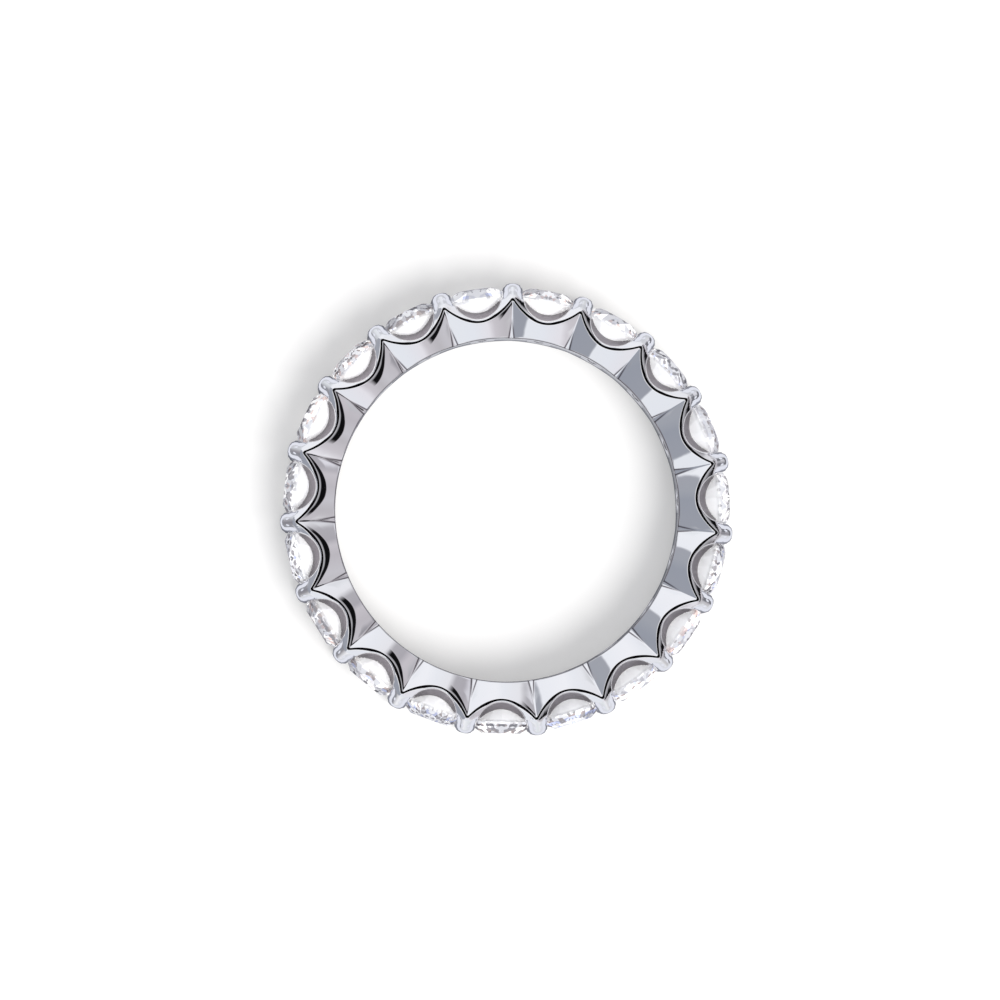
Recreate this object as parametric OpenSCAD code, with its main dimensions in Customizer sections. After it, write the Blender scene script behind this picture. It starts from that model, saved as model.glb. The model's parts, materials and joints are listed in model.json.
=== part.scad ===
// Eternity ring: round brilliants all the way round a white metal band, held by shared prongs.
// The ring's axis is Z and the origin is the centre of the finger hole, half way across the width.
// The first stone faces +X, and each prong stands between two stones, one prong on either side.

/* [Ring] */
// Diameter of the finger hole
bore_d = 16.5; // [14:0.1:22]
// Metal between the finger hole and the points of the stones
culet_wall = 0.52; // [0.35:0.01:1.2]
// Width of the ring along its axis, at the ridge under each stone
band_w = 3.36; // [3.3:0.02:4.2]
// Width of the band at the finger hole, under each stone
bore_w = 2.44; // [2.2:0.02:3.2]
// Radius of the arc that curves the outer side faces towards the prong tips
face_arc = 16; // [8:0.5:30]
// Outward tilt of those faces at the ridge
face_tilt = 1; // [0:0.5:4]

/* [Side cups] */
// Distance of the ridge below the girdles, under each stone
ridge_drop = 1.05; // [0.9:0.01:1.2]
// How much larger the cup's arc is than half the band's width
cup_swell = 1; // [0.8:0.05:1.6]

/* [Cuts between the prongs] */
// Least width of the metal left between two round cuts
rib_w = 0.9; // [0.7:0.01:1.1]
// Slope of the cut's floor, up towards the stone
cut_slope = 30; // [20:1:40]
// Height of the cut's floor above the ridge
rim_h = 0.12; // [0.05:0.01:0.3]

/* [Prongs] */
// Radius of a prong at its foot
prong_foot_r = 0.56; // [0.45:0.01:0.65]
// Radius of a prong near its tip
prong_tip_r = 0.5; // [0.4:0.01:0.55]
// Radius of the rounded tip
prong_dome_r = 0.55; // [0.5:0.01:0.7]
// Height of the tip above the girdles
prong_h = 0.72; // [0.5:0.01:1]
// Distance of the foot below the girdles
prong_root = 0.5; // [0.3:0.01:0.7]
// Distance of the middle of a prong's foot inside the ridge, across the width
prong_inset = 0.48; // [0.4:0.01:0.6]
// Lean of a prong over the stones
prong_lean = 30; // [20:1:36]

/* [Seats] */
// Clearance between a stone and the metal round it
seat_gap = 0.04; // [0.02:0.01:0.08]
// Distance of the web between two stones below the girdles
web_drop = 0.25; // [0.1:0.01:0.4]
// Clear width between the two prongs of a pair
prong_space = 0.7; // [0.5:0.05:1]
// Height at which the band ends and the prongs stand free, below the girdles
shoulder_drop = 0.1; // [0.02:0.01:0.2]
// Diameter of the light hole under each stone, at the stone
light_hole_d = 1; // [0.6:0.05:1.2]
// Diameter of the light hole at the finger hole
light_mouth_d = 1.25; // [0.8:0.05:1.4]

/* [Stones] */
// Diameter of a stone at its girdle
stone_d = 3.2; // [2.8:0.05:3.25]
// Least gap between two girdles
stone_gap = 0.15; // [0.1:0.01:0.4]
// Table width as a share of the stone's diameter
table_share = 0.57; // [0.5:0.01:0.65]
// Slope of the crown's main facets
crown_angle = 34.5; // [30:0.5:38]
// Slope of the pavilion's main facets
pavilion_angle = 40.8; // [39.5:0.1:42.5]
// Thickness of the girdle at the corners of the main facets
girdle_h = 0.11; // [0.08:0.01:0.2]
// Length of the star facets as a share of the way from table to girdle
star_share = 0.5; // [0.4:0.05:0.65]
// Length of the lower girdle facets as a share of the way from girdle to point
lower_share = 0.77; // [0.65:0.01:0.85]

/* [Hidden] */
$fn = 96;
over = 0.6;
stone_r = stone_d / 2;
table_r = table_share * stone_r;
crown_h = (stone_r - table_r) * tan(crown_angle);
mains = 8;
half_facet = 180 / mains;
star_r = table_r * cos(half_facet) * (1 - star_share) + stone_r * star_share;
star_drop = (star_r * cos(half_facet) - table_r) * tan(crown_angle);
pavilion_h = stone_r * tan(pavilion_angle);
bore_r = bore_d / 2;
girdle_r = bore_r + culet_wall + pavilion_h + girdle_h / 2;
stone_count = floor(180 / asin((stone_d + stone_gap) / (2 * girdle_r)));
pitch = 360 / stone_count;
ridge_r = girdle_r - ridge_drop;
ridge_z = band_w / 2;
tip_r = girdle_r + prong_h;
cup_slope = (band_w - bore_w) / 2 / (ridge_r - bore_r);
cut_r = girdle_r * tan(pitch / 2) - rib_w / 2;
cut_end_z = 0.28 * stone_r;

function two_digits(n) = n < 10 ? str("0", n) : str(n);
function stone_name(n) = str("stone_", two_digits(n));

// Puts its children at each stone's place, with local X along the stone's axis
module at_stones() {
  for (n = [0:stone_count - 1]) rotate([0, 0, n * pitch]) children();
}

// Puts its children between each two stones
module between_stones() {
  rotate([0, 0, pitch / 2]) at_stones() children();
}

// Its children and their mirror image on the ring's other side
module both_sides() {
  children();
  mirror([0, 0, 1]) children();
}

// The two outer side faces, arcs turned round the ring's axis
module side_faces() {
  x = ridge_r - face_arc * sin(face_tilt);
  z = ridge_z - face_arc * cos(face_tilt);
  rotate_extrude() intersection() {
    translate([x, z]) circle(r = face_arc);
    translate([x, -z]) circle(r = face_arc);
    translate([bore_r / 2, -band_w]) square([tip_r, 2 * band_w]);
  }
}

// One bulging cup under a stone, widening outwards from the finger hole
module cup() {
  x_in = bore_r * cos(pitch / 2) - over;
  x_out = tip_r + over;
  function half_w(x) = bore_w / 2 + cup_slope * (x - bore_r);
  intersection_for(side = [-1, 1])
    translate([x_in, 0, side * cup_swell])
      rotate([0, 90, 0])
        cylinder(h = x_out - x_in, r1 = half_w(x_in) + cup_swell, r2 = half_w(x_out) + cup_swell);
}

// The solid ring that carries the seats
module shoulder() {
  cylinder(r = girdle_r - shoulder_drop, h = 2 * band_w, center = true);
}

// A tapered claw with a domed end, leaning over the stones
module prong() {
  length = (prong_root + prong_h - prong_dome_r) / cos(prong_lean);
  taper = (prong_foot_r - prong_tip_r) / length;
  translate([girdle_r - prong_root, 0, ridge_z - prong_inset])
    rotate([0, 90 + prong_lean, 0])
      rotate_extrude() intersection() {
        polygon([
          [0, 0], [prong_foot_r, 0],
          [prong_foot_r - taper * (length + over), length + over], [0, length + over]
        ]);
        union() {
          translate([0, length]) circle(r = prong_dome_r);
          translate([0, -over]) square([prong_foot_r + over, length + over]);
        }
      }
}

// The round cut over which a stone is seen from the side; its floor runs out inside the seat
module side_cut() {
  reach = (ridge_z - cut_end_z) / cos(cut_slope);
  translate([ridge_r + rim_h, 0, ridge_z])
    rotate([0, -cut_slope, 0])
      translate([cut_r, 0, -reach])
        cylinder(r = cut_r, h = reach + 2 * over);
}

// The hollow that one stone sits in, with the light hole below it
module seat() {
  r_out = stone_r + seat_gap;
  depth = (r_out - light_hole_d / 2) * tan(pavilion_angle);
  translate([girdle_r, 0, 0])
    rotate([0, 90, 0])
      rotate_extrude()
        polygon([
          [0, bore_r - girdle_r - over], [light_mouth_d / 2, bore_r - girdle_r - over],
          [light_hole_d / 2, -girdle_h / 2 - depth], [r_out, -girdle_h / 2],
          [r_out, girdle_h / 2], [star_r + seat_gap, girdle_h / 2 + crown_h - star_drop],
          [table_r + seat_gap, girdle_h / 2 + crown_h],
          [table_r + seat_gap, prong_h + over], [0, prong_h + over]
        ]);
}

// Open space between the two prongs of a pair
module prong_channel() {
  rotate_extrude()
    translate([girdle_r - web_drop, -prong_space / 2])
      square([prong_h + over, prong_space]);
}

module finger_hole() {
  cylinder(r = bore_r, h = 2 * band_w, center = true);
}

module setting() {
  color("#c9ccd1") difference() {
    intersection() {
      side_faces();
      at_stones() cup();
      union() {
        shoulder();
        both_sides() between_stones() prong();
      }
    }
    both_sides() at_stones() side_cut();
    at_stones() seat();
    prong_channel();
    finger_hole();
  }
}

// A round brilliant with its girdle round the origin and its table facing up
module brilliant() {
  halves = 2 * mains;
  half = 360 / halves;
  arc_steps = 3;
  girdle_n = halves * arc_steps;
  girdle_z = girdle_h / 2;
  table_z = girdle_z + crown_h;
  star_z = table_z - star_drop;
  lower_r = stone_r * (1 - lower_share);
  lower_z = -girdle_z - (stone_r - lower_r * cos(half)) * tan(pavilion_angle);

  function polar(r, a, z) = [r * cos(a), r * sin(a), z];
  function ring(r, turn, z) = [for (k = [0:mains - 1]) polar(r, turn + k * 360 / mains, z)];
  // How far a girdle facet's flat plane bows from its corners, as it meets the round girdle
  function bow(j) = cos(half / 2) - cos((j % arc_steps) * half / arc_steps - half / 2);
  function scallop(z, r, z_far) = [
    for (j = [0:girdle_n - 1])
      let (slope = (z_far - z) / (stone_r - r) / cos(half / 2))
        polar(stone_r, j * 360 / girdle_n, z + slope * stone_r * bow(j))
  ];

  star = mains;
  top = star + mains;
  bottom = top + girdle_n;
  lower = bottom + girdle_n;
  culet = lower + mains;
  points = concat(
    ring(table_r, 0, table_z), ring(star_r, half, star_z),
    scallop(girdle_z, star_r, star_z), scallop(-girdle_z, lower_r, lower_z),
    ring(lower_r, half, lower_z), [[0, 0, -girdle_z - pavilion_h]]
  );

  function before(k) = (k + mains - 1) % mains;
  function after(k) = (k + 1) % mains;
  function corner(j) = j % girdle_n;
  faces = concat(
    [[for (k = [mains - 1:-1:0]) k]],
    [for (k = [0:mains - 1]) [after(k), star + k, k]],
    [for (k = [0:mains - 1]) [star + k, top + 2 * arc_steps * k, star + before(k), k]],
    [for (k = [0:halves - 1])
      concat([for (j = [arc_steps:-1:0]) top + corner(k * arc_steps + j)], [star + floor(k / 2)])],
    [for (j = [0:girdle_n - 1]) [top + corner(j + 1), bottom + corner(j + 1), bottom + j, top + j]],
    [for (k = [0:halves - 1])
      concat([for (j = [0:arc_steps]) bottom + corner(k * arc_steps + j)], [lower + floor(k / 2)])],
    [for (k = [0:mains - 1]) [lower + before(k), bottom + 2 * arc_steps * k, lower + k, culet]]
  );
  polyhedron(points = points, faces = faces, convexity = 2);
}

module stone(n) {
  color("#eef3f8")
    rotate([0, 0, (n - 1) * pitch])
      translate([girdle_r, 0, 0])
        rotate([0, 90, 0])
          brilliant();
}

setting();
for (n = [1:stone_count])
  stone(n);
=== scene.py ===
import json
from math import cos, pi, radians, sin, sqrt, tan
import bmesh
import bpy
import numpy as np
from mathutils import Matrix, Vector


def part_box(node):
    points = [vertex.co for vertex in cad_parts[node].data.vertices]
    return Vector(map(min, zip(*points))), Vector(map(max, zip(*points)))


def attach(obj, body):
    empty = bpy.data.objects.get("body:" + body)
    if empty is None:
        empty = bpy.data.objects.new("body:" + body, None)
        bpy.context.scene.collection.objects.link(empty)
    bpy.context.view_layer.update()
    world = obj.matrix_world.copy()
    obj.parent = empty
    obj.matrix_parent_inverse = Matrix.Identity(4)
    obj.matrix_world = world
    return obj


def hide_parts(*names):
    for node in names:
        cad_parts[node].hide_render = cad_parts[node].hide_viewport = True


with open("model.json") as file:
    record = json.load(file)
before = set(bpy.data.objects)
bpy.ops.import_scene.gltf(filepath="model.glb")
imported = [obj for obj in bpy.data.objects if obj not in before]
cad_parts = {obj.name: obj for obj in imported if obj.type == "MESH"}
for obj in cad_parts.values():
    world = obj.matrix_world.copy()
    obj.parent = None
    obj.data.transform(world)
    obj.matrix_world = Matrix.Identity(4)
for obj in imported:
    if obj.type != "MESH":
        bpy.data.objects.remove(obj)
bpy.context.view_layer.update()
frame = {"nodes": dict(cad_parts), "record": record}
mm = 0.001
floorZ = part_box("setting")[0].z
print("frame loaded")


def toLinear(hexColour):  # sRGB hex to the linear colour that the shaders take
    parts = [int(hexColour[i:i + 2], 16) / 255 for i in (1, 3, 5)]
    return [c / 12.92 if c <= 0.04045 else ((c + 0.055) / 1.055) ** 2.4 for c in parts] + [1.0]


def addNode(tree, kind, settings=None, links=None):  # one node, with its values and what feeds it
    node = tree.nodes.new(kind)
    for name, value in (settings or {}).items():
        if name == "stops":  # places and colours of a ramp
            stops = node.color_ramp.elements
            while len(stops) < len(value):
                stops.new(1)
            for stop, (place, colour) in zip(stops, value):
                stop.position, stop.color = place, toLinear(colour)
        elif isinstance(name, int) or name in node.inputs:
            node.inputs[name].default_value = value
        else:
            setattr(node, name, value)
    for name, source in (links or {}).items():
        tree.links.new(source, node.inputs[name])
    return node


# the camera stands at the photograph's viewing angle
camSet = {
    "distance": 300, "aimRight": -0.304, "aimUp": 0.511,  # mm
    "tilt": 2.4, "towards": 221.8, "turn": -3.2,  # degrees
    "lens": 223.99, "sensor": 36, "clipStart": 0.01, "clipEnd": 10,
}


def makeCamera():
    tilt, towards, turn = (radians(camSet[name]) for name in ("tilt", "towards", "turn"))
    back = Vector((sin(tilt) * cos(towards), sin(tilt) * sin(towards), cos(tilt)))
    right = Vector((cos(turn), sin(turn), 0))
    right = (right - back * right.dot(back)).normalized()
    up = back.cross(right)
    data = bpy.data.cameras.new("photoCamera")
    data.lens, data.sensor_width = camSet["lens"], camSet["sensor"]
    data.clip_start, data.clip_end = camSet["clipStart"], camSet["clipEnd"]
    data.dof.use_dof = False
    cam = bpy.data.objects.new("photoCamera", data)
    place = (back * camSet["distance"] + right * camSet["aimRight"] + up * camSet["aimUp"]) * mm
    cam.matrix_world = Matrix.Translation(place) @ Matrix((right, up, back)).transposed().to_4x4()
    bpy.context.collection.objects.link(cam)
    bpy.context.scene.camera = cam


makeCamera()
print("camera placed")

# the setting's forms, in millimetres and degrees, as surfaces that blend softly into each other
band = {
    "stones": sum(name.startswith("stone") for name in frame["nodes"]),
    "boreR": frame["record"]["mounts"][0]["dims"]["r_mm"], "girdleR": 10.206, "shoulderR": 10.106,
    "ridgeR": 9.14, "ridgeZ": 1.778,  # where the cup's slope would reach under a stone if it didn't roll off
    "cupSlope": 0.5, "cupCurve": 0.32,  # the slope, and the bulge that carries the ridge out to a cusp
    "rollStart": 0.6, "rollOff": 0.34, "rollPast": 0.15,  # the slope eases before the ridge and just past it
    "outerTilt": 0.16, "outerCurve": 0.05,  # outside the ridge
    "boreSoft": 0.06, "ridgeSoft": 0.045, "shoulderSoft": 0.045,  # roundings
    "landDrop": 0.01, "landSoft": 0.015,  # the ridge's crest is polished off to a narrow flat land
    "valleySoft": 0.2, "valleyEnd": 10.15, "valleyLeast": 0.12,  # the crease between two cups fades outwards
}
cut = {"r": 1.28, "rimR": 9.175, "rimZ": 1.68, "slope": 30, "endZ": 0.448, "soft": 0.03}
claw = {
    "footX": 9.706, "footZ": 1.3, "footR": 0.62, "tipR": 0.53, "length": 0.7226, "lean": 30,
    "domeR": 0.535, "domePower": 3,  # above 2, so the tip is blunter than a ball
    "tipSoft": 0.06, "rootSoft": 0.12,
    "webR": 9.956, "channelZ": 0.35, "channelSoft": 0.04,  # the open space between the two claws of a pair
}
seat = {
    "r": 1.64, "girdleHalf": 0.055, "pavilion": 40.8, "crownH": 0.4728, "tableR": 0.952,
    "holeR": 0.5, "mouthR": 0.625, "holeReach": 0.6,  # the light hole
    "soft": 0.03, "wellSoft": 0.06, "lipSoft": 0.02,
}
halfPitch = pi / band["stones"]
ridgeTop = band["ridgeZ"] - band["rollOff"] * band["rollStart"] / 2
coneRise = tan(radians(seat["pavilion"]))
wellDepth = seat["girdleHalf"] + (seat["r"] - seat["holeR"]) * coneRise  # from the girdle to the light hole
wellX = band["girdleR"] - wellDepth


def smoothMax(a, b, width):  # the larger of two, rounded where they meet
    near = np.clip(1 - np.abs(a - b) / width, 0, None)
    return np.maximum(a, b) + near * near * width / 4


def smoothMin(a, b, width):
    return -smoothMax(-a, -b, width)


def foldPoints(points):  # every point of the ring taken to the quarter of one stone's sector
    rho = np.hypot(points[:, 0], points[:, 1])
    angle = (np.arctan2(points[:, 1], points[:, 0]) + halfPitch) % (2 * halfPitch) - halfPitch
    return rho, np.abs(angle), np.abs(points[:, 2])


def ridgeRadius(angle):  # where pastRidge is zero
    lean = band["cupSlope"] * np.cos(angle)
    bend = 2 * band["cupCurve"] * band["cupSlope"] * band["ridgeR"] * np.sin(angle) ** 2
    return 2 * band["cupSlope"] * band["ridgeR"] / (lean + np.sqrt(lean ** 2 - bend))


def pastRidge(rho, angle):  # how far outside the ridge, along the stone's axis
    bulge = band["cupCurve"] / band["cupSlope"] * (rho * np.sin(angle)) ** 2 / 2
    return rho * np.cos(angle) - band["ridgeR"] - bulge


def cupHeight(rho, angle):
    past = pastRidge(rho, angle)
    roll = np.clip(band["rollStart"] + past, 0, band["rollStart"] + band["rollPast"])
    return band["ridgeZ"] + band["cupSlope"] * past - band["rollOff"] / band["rollStart"] * roll ** 2 / 2


def outerHeight(rho, angle):
    past = pastRidge(rho, np.minimum(angle, 2 * halfPitch - angle))
    return ridgeTop - band["outerTilt"] * past - band["outerCurve"] * np.maximum(past, 0) ** 2


def clawField(rho, angle, z):
    x, side = rho * np.cos(halfPitch - angle) - claw["footX"], rho * np.sin(halfPitch - angle)
    z = z - claw["footZ"]
    c, s = cos(radians(claw["lean"])), sin(radians(claw["lean"]))
    along, out = x * c - z * s, np.hypot(side, x * s + z * c)
    taper = (claw["footR"] - claw["tipR"]) / claw["length"]
    past, p = along - claw["length"], claw["domePower"]
    dome = np.minimum((out ** p + np.maximum(past, 0) ** p) ** (1 / p) - claw["domeR"], past)
    return smoothMax(out - claw["footR"] + taper * along, dome, claw["tipSoft"])


def cutField(rho, angle, z):  # the round cut over which a stone is seen from the side
    c, s = cos(radians(cut["slope"])), sin(radians(cut["slope"]))
    x, z = rho * np.cos(angle) - cut["rimR"] - cut["r"] * c, z - cut["rimZ"] - cut["r"] * s
    reach = (cut["rimZ"] - cut["endZ"]) / c
    return np.maximum(np.hypot(x * c + z * s, rho * np.sin(angle)) - cut["r"], x * s - z * c - reach)


def seatField(rho, angle, z):  # the hollow of a stone and the light hole under it
    x, r = rho * np.cos(angle) - band["girdleR"], np.hypot(rho * np.sin(angle), z)
    cone = (r - seat["r"] - (x + seat["girdleHalf"]) / coneRise) * sin(radians(seat["pavilion"]))
    shrink = (seat["r"] - seat["tableR"]) / seat["crownH"]
    crown = (r - seat["r"] + (x - seat["girdleHalf"]) * shrink) / sqrt(1 + shrink ** 2)
    hollow = smoothMax(smoothMax(cone, r - seat["r"], seat["lipSoft"]), crown, seat["lipSoft"])
    hollow = np.maximum(hollow, -x - wellDepth)
    flare = (seat["mouthR"] - seat["holeR"]) / (wellX - band["boreR"] + seat["holeReach"])
    hole = np.where(x < 0, r - seat["holeR"] - flare * np.clip(-x - wellDepth, 0, None), band["girdleR"])
    return np.minimum(smoothMin(hollow, hole, seat["wellSoft"]), np.maximum(r - seat["tableR"], -x))


def outerField(rho, angle, z):  # the metal before anything is cut out of it, below zero inside
    fade = (band["valleyEnd"] - rho) / (band["valleyEnd"] - band["boreR"])
    crease = band["valleySoft"] * np.clip(fade, band["valleyLeast"], 1)
    cups = smoothMin(z - cupHeight(rho, angle), z - cupHeight(rho, 2 * halfPitch - angle), crease)
    cups = cups / sqrt(1 + band["cupSlope"] ** 2)
    metal = smoothMax(cups, z - outerHeight(rho, angle), band["ridgeSoft"])
    metal = smoothMax(metal, z - ridgeTop + band["landDrop"], band["landSoft"])
    tops = smoothMin(rho - band["shoulderR"], clawField(rho, angle, z), claw["rootSoft"])
    return smoothMax(metal, tops, band["shoulderSoft"])


def ringField(points):
    rho, angle, z = foldPoints(points)
    metal = outerField(rho, angle, z)
    metal = smoothMax(metal, -cutField(rho, angle, z), cut["soft"])
    metal = smoothMax(metal, -seatField(rho, angle, z), seat["soft"])
    channel = np.maximum(z - claw["channelZ"], claw["webR"] - rho)
    metal = smoothMax(metal, -channel, claw["channelSoft"])
    return smoothMax(metal, band["boreR"] - rho, band["boreSoft"])


def fieldSlope(points, step=2e-4):
    slope = np.empty_like(points)
    for axis in range(3):
        move = np.zeros(3)
        move[axis] = step
        slope[:, axis] = (ringField(points + move) - ringField(points - move)) / (2 * step)
    return slope


def settlePoints(points, rounds, most=0.05, flattest=0.04, tiny=1e-9):  # pulls them onto the metal's surface
    points = points.copy()
    for _ in range(rounds):
        slope = fieldSlope(points)
        steep = np.maximum((slope * slope).sum(1), flattest)
        move = -(ringField(points) / steep)[:, None] * slope
        length = np.linalg.norm(move, axis=1)
        points += move * np.minimum(1, most / np.maximum(length, tiny))[:, None]
    return points


def findZero(values, low, high, rounds=40):  # where an array of values turns from below zero to above
    low, high = np.array(low, float), np.array(high, float)
    for _ in range(rounds):
        middle = (low + high) / 2
        below = values(middle) < 0
        low, high = np.where(below, middle, low), np.where(below, high, middle)
    return (low + high) / 2


def onRing(rho, angle, z):
    return np.stack([rho * np.cos(angle), rho * np.sin(angle), z + 0 * rho], 1)


def runLengths(line):
    return np.concatenate([[0], np.cumsum(np.linalg.norm(np.diff(line, axis=0), axis=1))])


def walkLine(line, distances):
    run = runLengths(line)
    return np.stack([np.interp(distances, run, line[:, axis]) for axis in range(3)], 1)


# the line round the cut's edge, over the shoulder and along the claw to its tip
edgeSet = {
    "upperRoll": 50, "lowerRoll": 128,  # degrees round the claw's axis where the two lines climb it
    "arcTurn": 120, "arcPoints": 241, "arcKept": 101, "arcRounds": 20, "shoulderGap": 0.01,
    "clawPoints": 40, "clawStart": 0.08, "flankPoints": 12, "flankSkip": 2,
    "domePoints": 16, "domeAlong": 0.35, "domeOut": 0.94,  # directions from the dome's middle
    "endAlong": 0.72, "upperEndOut": 0.9, "lowerEndOut": -0.66,
    "points": 120, "smoothRounds": 12,
}


def clawPoint(along, up, side):  # a point by its place on the claw's own axes
    c, s = cos(radians(claw["lean"])), sin(radians(claw["lean"]))
    x, z = claw["footX"] + along * c + up * s, claw["footZ"] - along * s + up * c
    across = x * sin(halfPitch) - side * cos(halfPitch)
    return np.stack([x * cos(halfPitch) + side * sin(halfPitch), across, z], -1)


def edgeLine(roll):
    c, s = cos(radians(cut["slope"])), sin(radians(cut["slope"]))
    turn = np.radians(np.linspace(0, edgeSet["arcTurn"], edgeSet["arcPoints"]))
    inX, inZ = cut["rimR"] + cut["r"] * c, cut["rimZ"] + cut["r"] * s
    rise = 0 * turn
    for _ in range(edgeSet["arcRounds"]):
        x = inX - cut["r"] * np.cos(turn) * c - rise * s
        y = cut["r"] * np.sin(turn)
        z = inZ - cut["r"] * np.cos(turn) * s + rise * c
        rise = rise + (outerHeight(np.hypot(x, y), np.arctan2(y, x)) - z) / c
    rho, angle = np.hypot(x, y), np.arctan2(y, x)
    out = np.minimum(rho - band["shoulderR"], clawField(rho, angle, z)) > -edgeSet["shoulderGap"]
    arc = np.stack([x, y, z], 1)[:np.argmax(out)]
    c, s = cos(radians(roll)), sin(radians(roll))
    place = np.linspace(0, claw["length"], edgeSet["clawPoints"])
    gap = np.linalg.norm(clawPoint(place, claw["tipR"] * c, claw["tipR"] * s) - arc[-1], axis=1)
    first = place[np.argmin(gap)] + edgeSet["clawStart"]
    place = np.linspace(first, claw["length"], edgeSet["flankPoints"])
    r = claw["footR"] - (claw["footR"] - claw["tipR"]) / claw["length"] * place
    flank = clawPoint(place, r * c, r * s)
    part = np.linspace(0, 1, edgeSet["domePoints"])[1:, None]
    start = np.array([edgeSet["domeAlong"], c * edgeSet["domeOut"], s * edgeSet["domeOut"]])
    endOut = c * edgeSet["upperEndOut"] if roll < 90 else edgeSet["lowerEndOut"]
    way = start * (1 - part) + np.array([edgeSet["endAlong"], endOut, 0]) * part
    way *= claw["domeR"] / np.linalg.norm(way, axis=1)[:, None]
    dome = clawPoint(claw["length"] + way[:, 0], way[:, 1], way[:, 2])
    line = np.concatenate([arc[:edgeSet["arcKept"]], flank[edgeSet["flankSkip"]:], dome])
    line = walkLine(line, np.linspace(0, runLengths(line)[-1], edgeSet["points"]))
    for _ in range(edgeSet["smoothRounds"]):
        line[1:-1] = line[1:-1] / 2 + (line[2:] + line[:-2]) / 4
    return line


# the setting's grid in a quarter of one stone's sector; its rows are shares of the way from line to line:
# the light hole's mouth, the bore's edge, the ridge, the cut's edge and its foot, the seat, the hole's top
grid = {
    "bore": (0, 0.35, 0.7, 0.88, 0.95),
    "cup": (0, 0.035, 0.08, 0.15, 0.27, 0.4, 0.53, 0.65, 0.75, 0.83, 0.9, 0.955),
    "face": (0, 0.07, 0.15, 0.26, 0.4, 0.56, 0.72, 0.85, 0.94), "cutWall": (0, 0.08, 0.22, 0.5, 0.8),
    "seat": (0, 0.1, 0.35, 0.7), "well": (0, 0.5), "hole": (0, 0.5, 1),
    "columns": 28, "holeColumns": 8, "webColumn": 21, "spread": 1.5,
    "mouthShare": 0.63,  # how much of its flare the light hole has where it opens into the bore
    "stretch": 1.03, "wallDepth": 1.6, "wallSteps": 161,  # along the cut's edge, and down its wall
    "lowerFrom": 1, "lowerStart": 1.1, "mixFrom": 0.95, "mixOver": 0.45,  # from the cut's foot to the claw
    "seatX": 9.42, "seatRise": 0.47, "seatBend": 1.5, "seatTurn": 75,  # a row up the seat to the web
    "webLow": 9.3, "webHigh": 10.1,  # the web's edge on the seat is looked for between these
    "settleRounds": 25, "lastRounds": 10, "merge": 0.002,
    # the grid is relaxed near the claws: past looseRow, and past one column on the side face, whose last row
    # is faceEnd, and past another beyond the cut's edge
    "relaxRounds": 60, "relaxShare": 0.5, "relaxSettle": 2, "looseRow": 18, "rowFade": 4, "faceEnd": 25,
    "faceColumn": 13, "faceFade": 4, "cutColumn": 9.5, "cutFade": 3,
}


def seatPoint(x, turn):  # on the seat's cone, turned round the stone's axis
    r = seat["holeR"] + (x - wellX) / coneRise
    return np.stack([x, r * np.sin(turn), r * np.cos(turn)], -1)


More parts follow.
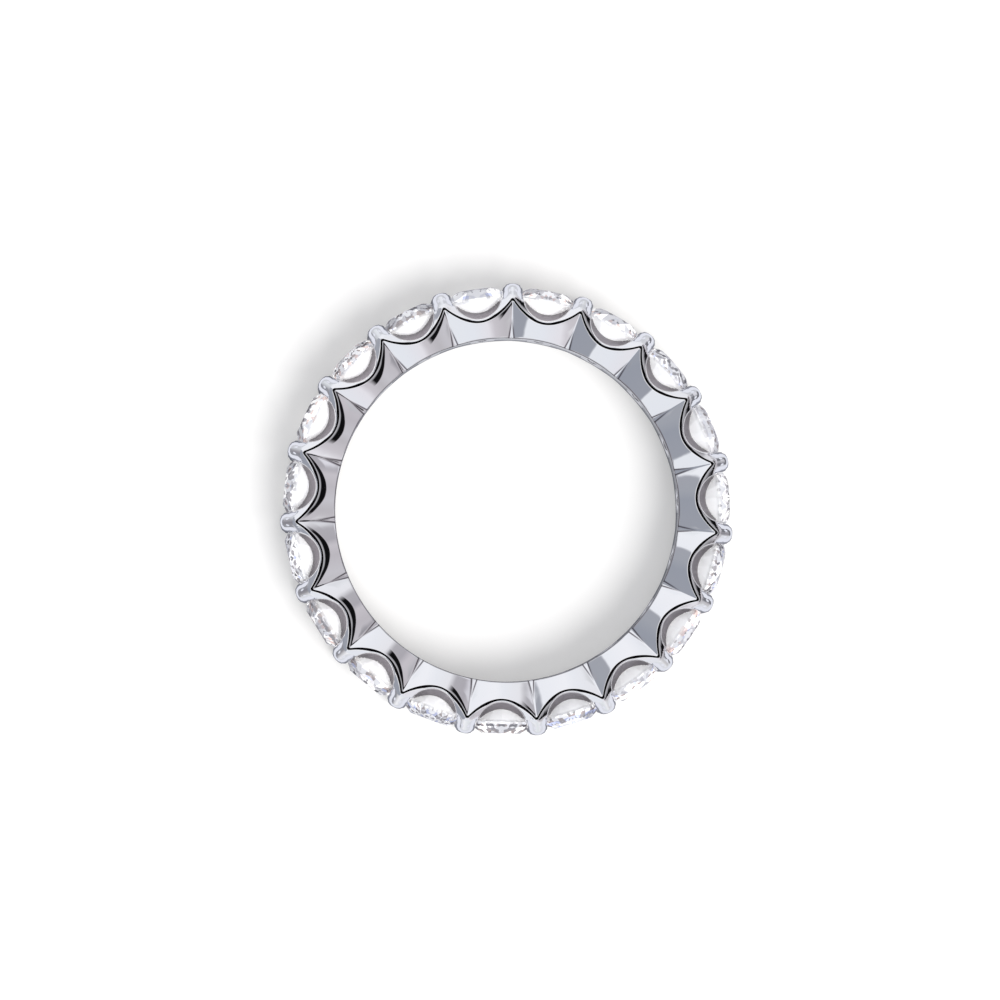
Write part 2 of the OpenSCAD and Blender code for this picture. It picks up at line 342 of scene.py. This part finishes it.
def gridLines():
    last, rim, web = grid["columns"], grid["holeColumns"], grid["webColumn"]
    i = np.arange(last + 1)
    past = np.clip((i - rim) / (last - rim), 0, 1)
    inHole = i <= rim
    quarter = np.radians(90) * np.clip(i / rim, 0, 1)
    mouth = seat["holeR"] + (seat["mouthR"] - seat["holeR"]) * grid["mouthShare"]
    rimAngle = np.arcsin(mouth / band["boreR"])
    ease = 1 - (1 - past) ** grid["spread"]
    angle = np.where(inHole, rimAngle * i / rim, rimAngle + (halfPitch - rimAngle) * ease)
    r = np.full(last + 1, band["boreR"])
    rimLine = onRing(r, np.where(inHole, np.arcsin(mouth * np.sin(quarter) / band["boreR"]), angle),
                     np.where(inHole, mouth * np.cos(quarter), 0))
    boreLine = onRing(r, angle, cupHeight(r, angle))
    r = ridgeRadius(angle)
    ridgeLine = onRing(r, angle, cupHeight(r, angle))
    upper, lower = edgeLine(edgeSet["upperRoll"]), edgeLine(edgeSet["lowerRoll"])
    start, whole = runLengths(ridgeLine) * grid["stretch"], runLengths(upper)[-1]
    walk = np.where(inHole, start, start[rim] + (whole - start[rim]) * past)
    cutLine = walkLine(upper, walk)
    lean = radians(cut["slope"])
    depth = np.linspace(0, grid["wallDepth"], grid["wallSteps"])[:, None]
    footLine = []
    for point in cutLine:  # straight in along the cut's wall until it meets the seat
        way = point + depth * np.array([sin(lean), 0, -cos(lean)])
        footLine.append(way[np.argmax(seatField(*foldPoints(way)) < 0)])
    share = np.clip((walk - grid["lowerFrom"]) / (whole - grid["lowerFrom"]), 0, 1)
    lowerLength = runLengths(lower)[-1] - grid["lowerStart"]
    lowerLine = walkLine(lower, grid["lowerStart"] + lowerLength * share)
    mix = np.clip((walk - grid["mixFrom"]) / grid["mixOver"], 0, 1)
    mix = (mix * mix * (3 - 2 * mix))[:, None]
    lowerLine = np.array(footLine) * (1 - mix) + lowerLine * mix
    webX = findZero(lambda x: np.hypot(x, seat["holeR"] + (x - wellX) / coneRise) - claw["webR"],
                    grid["webLow"], grid["webHigh"])
    toWeb, overWeb = np.clip(i / web, 0, 1), np.clip((i - web) / (last - web), 0, 1)
    wellRun = wellX + (webX - wellX) * np.clip((i - rim) / (web - rim), 0, 1)
    wellLine = np.where(inHole[:, None], seatPoint(wellX + 0 * quarter, quarter),
                        seatPoint(wellRun, pi / 2 + 0 * quarter))
    seatRun = grid["seatX"] + grid["seatRise"] * toWeb ** grid["seatBend"]
    seatLine = seatPoint(seatRun, np.radians(grid["seatTurn"]) * toWeb)
    for line, z in ((wellLine, 0), (seatLine, claw["channelZ"])):  # over the web between two stones
        first = np.arctan2(line[web, 1], line[web, 0])
        over = onRing(np.full(last + 1, claw["webR"]), first + (halfPitch - first) * overWeb, z)
        line[web + 1:] = over[web + 1:]
    return [(rimLine, grid["bore"]), (boreLine, grid["cup"]), (ridgeLine, grid["face"]),
            (cutLine, grid["cutWall"]), (lowerLine, grid["seat"]), (seatLine, grid["well"]),
            (wellLine, grid["hole"]), (rimLine, ())]


def gridPoints():
    lines = gridLines()
    pairs = zip(lines, lines[1:])
    rows = [line + (after - line) * part for (line, parts), (after, _) in pairs for part in parts]
    shape = np.array(rows).shape
    points = settlePoints(np.array(rows).reshape(-1, 3), grid["settleRounds"]).reshape(shape)
    holeRow = len(rows) - len(grid["hole"])
    row, column = np.arange(len(rows))[:, None], np.arange(shape[1])[None]
    loose = np.where(row > grid["faceEnd"], (column - grid["cutColumn"]) / grid["cutFade"],
                     (column - grid["faceColumn"]) / grid["faceFade"])
    loose = np.clip(loose, 0, 1) * np.clip((row - grid["looseRow"]) / grid["rowFade"], 0, 1) * (row < holeRow)
    c, s = cos(2 * halfPitch), sin(2 * halfPitch)
    across = np.array([[c, s, 0], [s, -c, 0], [0, 0, 1]])  # mirrors at the middle of a prong
    for _ in range(grid["relaxRounds"]):
        after = np.concatenate([points[:, 1:], points[:, -2:-1] @ across.T], 1)
        before = np.concatenate([points[:, :1], points[:, :-1]], 1)
        above, below = np.concatenate([points[:1], points[:-1]]), np.concatenate([points[1:], points[-1:]])
        middle = (after + before + above + below) / 4
        points = points + grid["relaxShare"] * loose[..., None] * (middle - points)
        points = settlePoints(points.reshape(-1, 3), grid["relaxSettle"]).reshape(shape)
    return settlePoints(points.reshape(-1, 3), grid["lastRounds"]).reshape(shape), holeRow


# painted shade, 0 to 1, which also makes the metal rougher: cuts and seats, and their ends most; a thin
# line of painted shade on either side of a crease; the edge of the finger hole
shadeSet = {
    "middle": 0.6, "endFrom": 0.4, "endTo": 0.75, "depthFrom": 0.02, "depthOver": 0.08, "boreGap": 0.2,
    "creaseEnd": 9.2, "creaseHalf": 0.13, "creaseLine": 0.028, "creaseRise": 1.6, "creaseDepth": 0.03,
    "edgeLine": 0.03, "edgeRise": 1.5,
}


def shadeAndRoughness(rho, angle, z):
    # painted shade: darker deep in the cuts and seats and at their ends, thin dark lines at creases and the
    # hole's edge
    depth = -outerField(rho, angle, z)
    shadeAndRough = np.clip((depth - shadeSet["depthFrom"]) / shadeSet["depthOver"], 0, 1)
    shadeAndRough = shadeAndRough * (rho > band["boreR"] + shadeSet["boreGap"])
    end = np.clip((angle / halfPitch - shadeSet["endFrom"]) / (shadeSet["endTo"] - shadeSet["endFrom"]), 0, 1)
    shadeAndRough = shadeAndRough * (shadeSet["middle"] + (1 - shadeSet["middle"]) * end)
    inward = np.clip((shadeSet["creaseEnd"] - rho) / (shadeSet["creaseEnd"] - band["boreR"]), 0, 1)
    beside = (rho * np.sin(halfPitch - angle) - shadeSet["creaseHalf"] * inward) / shadeSet["creaseLine"]
    crease = np.exp(-beside ** 2) * np.minimum(shadeSet["creaseRise"] * inward, 1) * (depth < shadeSet["creaseDepth"])
    edge = np.clip(shadeSet["edgeRise"] - np.maximum(rho - band["boreR"], depth) / shadeSet["edgeLine"], 0, 1)
    return np.maximum(np.maximum(shadeAndRough, crease), edge)


def makeSetting():
    points, holeRow = gridPoints()
    rows, columns = points.shape[:2]
    mesh = bmesh.new()
    bmesh.ops.create_grid(mesh, x_segments=columns - 1, y_segments=rows - 1, size=1)
    mesh.verts.ensure_lookup_table()
    gone = set()
    for k, vert in enumerate(mesh.verts):  # the grid's vertices run column by column within a row
        row, column = divmod(k, columns)
        vert.co = points[row, column]
        if row > holeRow and column > grid["holeColumns"]:
            gone.add(vert)
    bmesh.ops.delete(mesh, geom=list(gone), context="VERTS")
    for axis in "ZY":
        quarter = mesh.verts[:] + mesh.edges[:] + mesh.faces[:]
        bmesh.ops.mirror(mesh, geom=quarter, axis=axis, merge_dist=0)
    sector = mesh.verts[:] + mesh.edges[:] + mesh.faces[:]
    for k in range(1, band["stones"]):
        copy = bmesh.ops.duplicate(mesh, geom=sector)["geom"]
        verts = [part for part in copy if isinstance(part, bmesh.types.BMVert)]
        bmesh.ops.rotate(mesh, verts=verts, matrix=Matrix.Rotation(2 * k * halfPitch, 3, "Z"))
    bmesh.ops.remove_doubles(mesh, verts=mesh.verts, dist=grid["merge"])
    bmesh.ops.recalc_face_normals(mesh, faces=mesh.faces)
    openEdges = sum(len(edge.link_faces) != 2 for edge in mesh.edges)
    print("setting: open edges", openEdges, "faces", len(mesh.faces))
    places = np.array([vert.co for vert in mesh.verts])
    bmesh.ops.scale(mesh, vec=(mm, mm, mm), verts=mesh.verts)
    for face in mesh.faces:
        face.smooth = True
    data = bpy.data.meshes.new("whiteGoldSetting")
    mesh.to_mesh(data)
    mesh.free()
    # painted shade, which also sets the roughness
    shadeLayer = data.attributes.new("underCut", "FLOAT", "POINT")
    shadeLayer.data.foreach_set("value", shadeAndRoughness(*foldPoints(places)))
    slope = fieldSlope(places)
    data.normals_split_custom_set_from_vertices((slope / np.linalg.norm(slope, axis=1)[:, None]).tolist())
    piece = bpy.data.objects.new("whiteGoldSetting", data)
    bpy.context.collection.objects.link(piece)
    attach(piece, "root")
    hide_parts("setting")
    return piece


setting = makeSetting()
print("setting made")


metalLook = {
    "tones": [(0, "#ecebec"), (0.6, "#837e83"), (1, "#4a4548")],  # from the polished metal's own colour to painted shade
    "hazeMm": 0.35, "hazeLow": 0.3, "hazeHigh": 0.7, "roughLow": 0.02, "roughHigh": 0.05,
    "dullAt": 0.6, "dullRough": 0.3,
    "waveMm": 0.7, "wave": 0.05, "waveDepthMm": 0.1,
}


def makeMetal():
    # rhodium-plated 18 ct white gold, mirror polished: clean zones of the studio with soft hand-polished
    # waves in them; the cuts and seats are rougher, and painted shade darkens them to grey-brown, most at
    # their ends; painted shade also draws thin dark lines beside each crease and at the hole's edge
    metal = bpy.data.materials.new("polishedWhiteGold")
    metal.use_nodes = True
    tree = metal.node_tree
    shader = tree.nodes["Principled BSDF"]
    shader.inputs["Metallic"].default_value = 1
    place = addNode(tree, "ShaderNodeTexCoord").outputs["Object"]
    # painted shade darkens the colour here, and the same mask makes the metal rougher
    shadeAndRough = addNode(tree, "ShaderNodeAttribute", {"attribute_name": "underCut"}).outputs["Fac"]
    tint = addNode(tree, "ShaderNodeValToRGB", {"stops": metalLook["tones"]}, {0: shadeAndRough})
    tree.links.new(tint.outputs[0], shader.inputs["Base Color"])
    haze = addNode(tree, "ShaderNodeTexNoise", {"Scale": 1 / (metalLook["hazeMm"] * mm), "Detail": 3},
                   {"Vector": place})
    clean = {1: metalLook["hazeLow"], 2: metalLook["hazeHigh"],
             3: metalLook["roughLow"], 4: metalLook["roughHigh"]}
    clean = addNode(tree, "ShaderNodeMapRange", clean, {0: haze.outputs["Fac"]})
    rough = addNode(tree, "ShaderNodeMapRange", {2: metalLook["dullAt"], 4: metalLook["dullRough"]},
                    {0: shadeAndRough, 3: clean.outputs[0]})
    tree.links.new(rough.outputs[0], shader.inputs["Roughness"])
    wave = addNode(tree, "ShaderNodeTexNoise", {"Scale": 1 / (metalLook["waveMm"] * mm), "Detail": 1},
                   {"Vector": place})
    bump = {"Strength": metalLook["wave"], "Distance": metalLook["waveDepthMm"] * mm}
    bump = addNode(tree, "ShaderNodeBump", bump, {"Height": wave.outputs["Fac"]})
    tree.links.new(bump.outputs["Normal"], shader.inputs["Normal"])
    return metal


stoneLook = {
    "clearPoint": 0.25, "clearTop": 0.42, "glow": 0.3,
    "facets": 8, "paintedGlintMm": 0.17, "wedgeMm": 1.3, "apartMm": 12, "toneScale": 5,
    "from": 10.05, "to": 10.3,  # painted glints show in the crown half, at these radii in mm
    "paintedGlints": [(0, "#fdfcfa"), (0.3, "#c6c3c5"), (0.42, "#fdfcfa"), (0.5, "#7a7577"), (0.6, "#eeeef2"),
               (0.69, "#3c383c"), (0.76, "#fdfcfa"), (0.83, "#dfc3ba"), (0.86, "#b3bbe0"), (0.89, "#8a7a74"),
               (0.96, "#fdfcfa")],
    # painted reflections, from facet to facet
    "tones": [(0, "#a9aaaf"), (0.4, "#ffffff"), (0.48, "#d2d3d7"), (0.54, "#ffffff"), (0.62, "#b4b5ba")],
}


def makeDiamond():
    # brilliant-cut diamond: clear, very bright and white, with painted glints, small grey, pink and blue,
    # that repeat round each stone as its facets do, painted reflections that change from facet to facet, and
    # a glow of painted light; more than half of it is drawn as scattered light, because the many reflections
    # inside can't all be followed
    diamond = bpy.data.materials.new("cutDiamond")
    diamond.use_nodes = True
    tree = diamond.node_tree
    shader = tree.nodes["Principled BSDF"]
    shader.inputs["IOR"].default_value = 2.417
    shader.inputs["Roughness"].default_value = 0
    # the stones glow with their own tint: painted light
    shader.inputs["Emission Strength"].default_value = stoneLook["glow"]
    place = addNode(tree, "ShaderNodeTexCoord").outputs
    parts = addNode(tree, "ShaderNodeSeparateXYZ", {}, {0: place["Object"]}).outputs
    flat = addNode(tree, "ShaderNodeCombineXYZ", {}, {0: parts["X"], 1: parts["Y"]})
    out = addNode(tree, "ShaderNodeVectorMath", {"operation": "LENGTH"}, {0: flat.outputs[0]})
    out = out.outputs["Value"]
    turn = addNode(tree, "ShaderNodeMath", {"operation": "ARCTAN2"}, {0: parts["Y"], 1: parts["X"]})
    turn = turn.outputs[0]
    inside = addNode(tree, "ShaderNodeMath", {"operation": "WRAP", 1: halfPitch, 2: -halfPitch}, {0: turn})
    inside = inside.outputs[0]
    whole = addNode(tree, "ShaderNodeMath", {"operation": "SUBTRACT"}, {0: turn, 1: inside})  # which stone
    apart = {"operation": "MULTIPLY", 1: stoneLook["apartMm"] * mm}
    apart = addNode(tree, "ShaderNodeMath", apart, {0: whole.outputs[0]})
    aside = addNode(tree, "ShaderNodeMath", {"operation": "SINE"}, {0: inside})
    aside = addNode(tree, "ShaderNodeMath", {"operation": "MULTIPLY"}, {0: aside.outputs[0], 1: out})
    face = addNode(tree, "ShaderNodeCombineXYZ", {}, {0: aside.outputs[0], 1: parts["Z"]})
    middle = addNode(tree, "ShaderNodeVectorMath", {"operation": "LENGTH"}, {0: face.outputs[0]})
    wedge = addNode(tree, "ShaderNodeMath", {"operation": "ARCTAN2"}, {0: parts["Z"], 1: aside.outputs[0]})
    wedge = addNode(tree, "ShaderNodeMath", {"operation": "PINGPONG", 1: pi / stoneLook["facets"]},
                    {0: wedge.outputs[0]})
    wedge = addNode(tree, "ShaderNodeMath", {"operation": "MULTIPLY", 1: stoneLook["wedgeMm"] * mm},
                    {0: wedge.outputs[0]})
    folded = {0: middle.outputs["Value"], 1: wedge.outputs[0], 2: apart.outputs[0]}
    folded = addNode(tree, "ShaderNodeCombineXYZ", {}, folded)
    # painted glints: reflections laid into the colour, repeating round each stone as its facets do
    cells = addNode(tree, "ShaderNodeTexVoronoi", {"Scale": 1 / (stoneLook["paintedGlintMm"] * mm)},
                    {"Vector": folded.outputs[0]})
    pick = addNode(tree, "ShaderNodeSeparateColor", {}, {0: cells.outputs["Color"]})
    paintedGlint = addNode(tree, "ShaderNodeValToRGB", {"stops": stoneLook["paintedGlints"]}, {0: pick.outputs[0]})
    paintedGlint.color_ramp.interpolation = "CONSTANT"
    # painted reflections: a grey or white tone for each facet, by its direction
    facet = addNode(tree, "ShaderNodeTexNoise", {"Scale": stoneLook["toneScale"], "Detail": 0},
                    {"Vector": place["Normal"]})
    tone = addNode(tree, "ShaderNodeValToRGB", {"stops": stoneLook["tones"]}, {0: facet.outputs["Fac"]})
    tone.color_ramp.interpolation = "CONSTANT"
    both = addNode(tree, "ShaderNodeMix", {"data_type": "RGBA", "blend_type": "MULTIPLY", 0: 1},
                   {6: paintedGlint.outputs[0], 7: tone.outputs[0]})
    crown = {1: stoneLook["from"] * mm, 2: stoneLook["to"] * mm}
    crown = addNode(tree, "ShaderNodeMapRange", crown, {0: out})
    tint = addNode(tree, "ShaderNodeMix", {"data_type": "RGBA", 6: (1, 1, 1, 1)},
                   {0: crown.outputs[0], 7: both.outputs[2]})
    for name in ("Base Color", "Emission Color"):
        tree.links.new(tint.outputs[2], shader.inputs[name])
    clear = addNode(tree, "ShaderNodeMapRange", {3: stoneLook["clearPoint"], 4: stoneLook["clearTop"]},
                    {0: crown.outputs[0]})
    tree.links.new(clear.outputs[0], shader.inputs["Transmission Weight"])
    return diamond


setting.data.materials.append(makeMetal())
diamond = makeDiamond()
for name, node in frame["nodes"].items():
    if name.startswith("stone"):
        node.data.materials.clear()
        node.data.materials.append(diamond)
print("materials made")

# the studio: softboxes round the ring as zones of the sky, a key light for the shadow, a pale floor
studio = {
    "gain": 1.19, "backdrop": "#ffffff", "throughStone": 0.3,  # white mixed into what a stone lets through
    # degrees from straight up where a zone begins, and where the darker side's own top ends
    "boxesFrom": (12, 18), "lowFrom": (62, 68), "skirtFrom": (77, 80), "sideTopTo": 44.5,
    # degrees round the ring and colours, each running to the next one
    "boxes": [(0, "#bbb8be"), (18, "#c4c1c7"), (28, "#aaa8af"), (46, "#aeadb3"), (56, "#e4e5ea"),
              (80, "#e7eaf0"), (95, "#eef0f5"), (138, "#e9ecf2"), (141, "#9fa2ab"), (160, "#9ea2ab"),
              (178, "#959aa5"), (226, "#989ca6"), (229, "#e3e7ed"), (262, "#e2e6ed"), (290, "#e2e1e7"),
              (300, "#c8c5cb"), (320, "#b9b7bc"), (335, "#c4c3c9"), (360, "#bbb8be")],
    "low": [(0, "#a09fa6"), (12, "#bbbcc1"), (31, "#dadae2"), (60, "#d2d4d8"), (88, "#ebeef5"),
            (126, "#dee2e7"), (145, "#c6cacf"), (164, "#a09fa5"), (183, "#84848c"), (202, "#959499"),
            (221, "#cdced2"), (240, "#eff0f4"), (277, "#dde2e6"), (296, "#ebecf0"), (315, "#c6c6c9"),
            (334, "#c0bfc4"), (352, "#85848b"), (360, "#a09fa6")],
    "side": [(0, "#ffffff"), (44, "#ffffff"), (52, "#000000"), (308, "#000000"), (316, "#ffffff"),
             (360, "#ffffff")],  # white where the darker side is
    "skirt": [(0, "#74757b"), (34, "#74757b"), (44, "#c9ccd2"), (150, "#c9ccd2"), (160, "#8f9198"),
              (216, "#8f9198"), (225, "#d9dce2"), (335, "#d9dce2"), (345, "#74757b"), (360, "#74757b")],
    # degrees from straight up and colours, over most of the ring and over the darker side
    "top": [(0, "#08080a"), (9, "#08080a"), (11, "#f7f8fb"), (20, "#f1f3f8")],
    "sideTop": [(0, "#08080a"), (9, "#08080a"), (11, "#bcbcc0"), (16, "#acacb0"), (25, "#8f8f94"),
                (29, "#0c0c0e"), (42, "#101012"), (44, "#c4c1c7")],
}


def makeStudio():
    world = bpy.data.worlds.new("studio")
    bpy.context.scene.world = world
    world.use_nodes = True
    tree = world.node_tree
    way = addNode(tree, "ShaderNodeTexCoord").outputs["Generated"]
    parts = addNode(tree, "ShaderNodeSeparateXYZ", {}, {0: way}).outputs
    turn = addNode(tree, "ShaderNodeMath", {"operation": "ARCTAN2"}, {0: parts["Y"], 1: parts["X"]})
    turn = addNode(tree, "ShaderNodeMath", {"operation": "DIVIDE", 1: 2 * pi}, {0: turn.outputs[0]})
    turn = addNode(tree, "ShaderNodeMath", {"operation": "FRACT"}, {0: turn.outputs[0]}).outputs[0]
    fall = addNode(tree, "ShaderNodeMath", {"operation": "ARCCOSINE"}, {0: parts["Z"]})
    fall = addNode(tree, "ShaderNodeMath", {"operation": "DIVIDE", 1: radians(90)}, {0: fall.outputs[0]})
    fall = fall.outputs[0]
    ramps = {}
    for name in ("boxes", "low", "side", "skirt", "top", "sideTop"):
        source, whole = (fall, 90) if name in ("top", "sideTop") else (turn, 360)
        stops = [(place / whole, colour) for place, colour in studio[name]]
        ramps[name] = addNode(tree, "ShaderNodeValToRGB", {"stops": stops}, {0: source}).outputs[0]
    colour = ramps["top"]
    for name in ("boxes", "sideTop", "low", "skirt"):  # each zone laid over the ones before it
        if name == "sideTop":
            step = addNode(tree, "ShaderNodeMath", {"operation": "LESS_THAN", 1: studio["sideTopTo"] / 90},
                           {0: fall})
            step = addNode(tree, "ShaderNodeMath", {"operation": "MULTIPLY"},
                           {0: step.outputs[0], 1: ramps["side"]})
        else:
            start, end = studio[name + "From"]
            step = {"interpolation_type": "SMOOTHSTEP", 1: start / 90, 2: end / 90}
            step = addNode(tree, "ShaderNodeMapRange", step, {0: fall})
        colour = addNode(tree, "ShaderNodeMix", {"data_type": "RGBA"},
                         {0: step.outputs[0], 6: colour, 7: ramps[name]}).outputs[2]
    ray = addNode(tree, "ShaderNodeLightPath").outputs
    through = addNode(tree, "ShaderNodeMath", {"operation": "MULTIPLY", 1: studio["throughStone"]},
                      {0: ray["Is Transmission Ray"]})
    colour = addNode(tree, "ShaderNodeMix", {"data_type": "RGBA", 7: (1, 1, 1, 1)},
                     {0: through.outputs[0], 6: colour}).outputs[2]
    colour = addNode(tree, "ShaderNodeMix", {"data_type": "RGBA", 7: toLinear(studio["backdrop"])},
                     {0: ray["Is Camera Ray"], 6: colour}).outputs[2]
    tree.links.new(colour, tree.nodes["Background"].inputs["Color"])
    tree.nodes["Background"].inputs["Strength"].default_value = studio["gain"]


key = {"towards": 311, "height": 52, "width": 38, "strength": 3.3}  # degrees, and watts on a square metre


def makeKeyLight():
    data = bpy.data.lights.new("keyLight", "SUN")
    data.energy, data.angle = key["strength"], radians(key["width"])
    light = bpy.data.objects.new("keyLight", data)
    turn, rise = radians(key["towards"]), radians(key["height"])
    way = Vector((cos(turn) * cos(rise), sin(turn) * cos(rise), sin(rise)))
    light.rotation_euler = way.to_track_quat("Z", "Y").to_euler()
    light.visible_glossy = False  # it lights the floor and stones and throws the soft shadow
    bpy.context.collection.objects.link(light)


floorSet = {
    "half": 0.5, "paper": "#cac9c7", "rough": 0.9,
    "glow": 0.52,  # as if lit evenly from all round, so the shadow stays light
    # in the metal's reflections the floor is painted darker, most under the ring and just round it: painted
    # shade, which gives the claws and the hole's wall their thin dark outlines; its stops are shares of a
    # distance in mm, measured from the middle of the ring
    "mirroredShadeMm": 20, "mirroredShade": [(0.4155, "#a4a5a9"), (0.4185, "#5a5c62"), (0.66, "#6a6c73"), (0.72, "#b4b6bc")],
}


def makeFloor():
    mesh = bmesh.new()
    bmesh.ops.create_grid(mesh, x_segments=1, y_segments=1, size=floorSet["half"])
    bmesh.ops.translate(mesh, vec=(0, 0, floorZ), verts=mesh.verts)
    data = bpy.data.meshes.new("paleFloor")
    mesh.to_mesh(data)
    mesh.free()
    floor = bpy.data.objects.new("paleFloor", data)
    bpy.context.collection.objects.link(floor)
    paper = bpy.data.materials.new("palePaper")  # matt white paper: even, with no gloss, as the camera sees it; painted shade in the metal's reflections
    paper.use_nodes = True
    tree = paper.node_tree
    shader = tree.nodes["Principled BSDF"]
    # in the metal's reflections the floor takes painted shade instead of the paper's colour
    mirrored = addNode(tree, "ShaderNodeLightPath").outputs["Is Glossy Ray"]
    place = addNode(tree, "ShaderNodeTexCoord").outputs["Object"]
    away = addNode(tree, "ShaderNodeVectorMath", {"operation": "LENGTH"}, {0: place})
    share = addNode(tree, "ShaderNodeMath", {"operation": "DIVIDE", 1: floorSet["mirroredShadeMm"] * mm},
                    {0: away.outputs["Value"]})
    mirroredShade = addNode(tree, "ShaderNodeValToRGB", {"stops": floorSet["mirroredShade"]}, {0: share.outputs[0]})
    tint = addNode(tree, "ShaderNodeMix", {"data_type": "RGBA", 6: toLinear(floorSet["paper"])},
                   {0: mirrored, 7: mirroredShade.outputs[0]})
    tree.links.new(tint.outputs[2], shader.inputs["Base Color"])
    tree.links.new(tint.outputs[2], shader.inputs["Emission Color"])
    shader.inputs["Emission Strength"].default_value = floorSet["glow"]
    shader.inputs["Roughness"].default_value = floorSet["rough"]
    shader.inputs["Specular IOR Level"].default_value = 0
    data.materials.append(paper)


makeStudio()
makeKeyLight()
makeFloor()
bpy.context.scene.view_settings.view_transform = "Standard"  # the photograph's whites are plain white
print("studio made")
